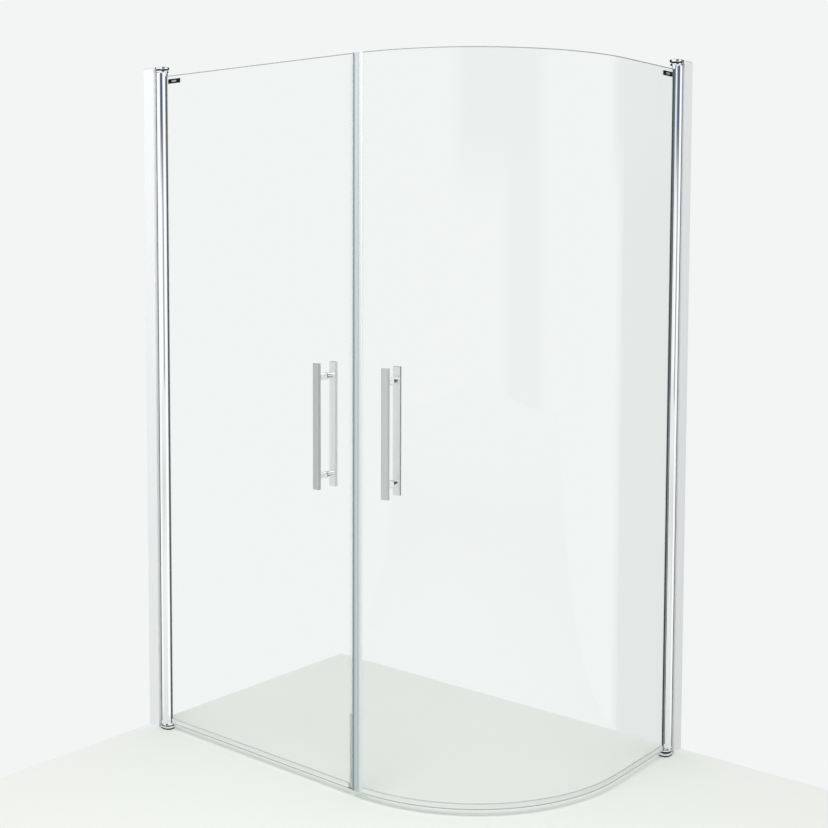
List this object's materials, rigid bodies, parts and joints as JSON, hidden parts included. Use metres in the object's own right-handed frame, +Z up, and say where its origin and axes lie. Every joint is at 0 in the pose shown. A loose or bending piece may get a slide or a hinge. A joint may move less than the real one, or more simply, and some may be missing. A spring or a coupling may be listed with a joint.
{
  "type": "corner shower enclosure",
  "caption": "Corner shower enclosure in clear glass: a flat hinged door and a curved hinged door that meet at a seam, on round polished hinge tubes and pale wall profiles, with pull handles.",
  "frame": {"origin": "the corner of the room on the floor, where the two walls meet", "axes": "+X along the right wall, -Y along the left wall towards the flat door, +Z up"},
  "size_m": [1.325, 0.876, 1.95],
  "materials": {
    "channel_aluminium": "satin anodised",
    "profile_aluminium": "satin anodised, pale",
    "steel": "bright stainless",
    "cap_plastic": "light grey, moulded",
    "black_rubber": "matt black",
    "chrome": "polished",
    "black_plastic": "black, turned",
    "tube_chrome": "polished",
    "glass": "clear, toughened",
    "grey_seal": "grey, soft",
    "pale_seal": "pale, translucent",
    "magnet": "filled magnetic rubber",
    "clear_seal": "clear, soft",
    "bar_steel": "satin",
    "badge_black": "black, gloss"
  },
  "bodies": {
    "wall_frames": {"left_wall_channel": "channel_aluminium", "left_adjusting_profile": "profile_aluminium", "left_clamp_screws": "steel", "left_profile_cap": "cap_plastic", "left_tube_seal": "black_rubber", "left_foot_bracket": "chrome", "left_foot_pad": "black_rubber", "left_head_bracket": "chrome", "left_bracket_screws": "steel", "left_pivot_pins": "steel", "left_bearing_washers": "black_plastic", "right_wall_channel": "channel_aluminium", "right_adjusting_profile": "profile_aluminium", "right_clamp_screws": "steel", "right_profile_cap": "cap_plastic", "right_tube_seal": "black_rubber", "right_foot_bracket": "chrome", "right_foot_pad": "black_rubber", "right_head_bracket": "chrome", "right_bracket_screws": "steel", "right_pivot_pins": "steel", "right_bearing_washers": "black_plastic"},
    "left_door": {"left_hinge_tube": "tube_chrome", "left_lower_ring": "chrome", "left_upper_ring": "chrome", "left_glass": "glass", "left_glass_gasket": "grey_seal", "left_magnet_seal": "pale_seal", "left_magnet_strip": "magnet", "left_drip_seal": "clear_seal", "left_outer_bar": "bar_steel", "left_outer_posts": "chrome", "left_inner_bar": "bar_steel", "left_inner_posts": "chrome", "left_handle_studs": "steel", "left_handle_washers": "clear_seal", "left_badge": "badge_black"},
    "right_door": {"right_hinge_tube": "tube_chrome", "right_lower_ring": "chrome", "right_upper_ring": "chrome", "right_glass": "glass", "right_glass_gasket": "grey_seal", "right_magnet_seal": "pale_seal", "right_magnet_strip": "magnet", "right_drip_seal": "clear_seal", "right_outer_bar": "bar_steel", "right_outer_posts": "chrome", "right_inner_bar": "bar_steel", "right_inner_posts": "chrome", "right_handle_studs": "steel", "right_handle_washers": "clear_seal", "right_badge": "badge_black"}
  },
  "joints": [
    {"name": "left_door_hinge", "type": "hinge", "parent": "wall_frames", "child": "left_door", "pos_m": [0.061, -0.838, 0], "axis": [0, 0, -1], "range_deg": [0, 90]},
    {"name": "right_door_hinge", "type": "hinge", "parent": "wall_frames", "child": "right_door", "pos_m": [1.308, -0.061, 0], "axis": [0, 0, 1], "range_deg": [0, 90]}
  ]
}
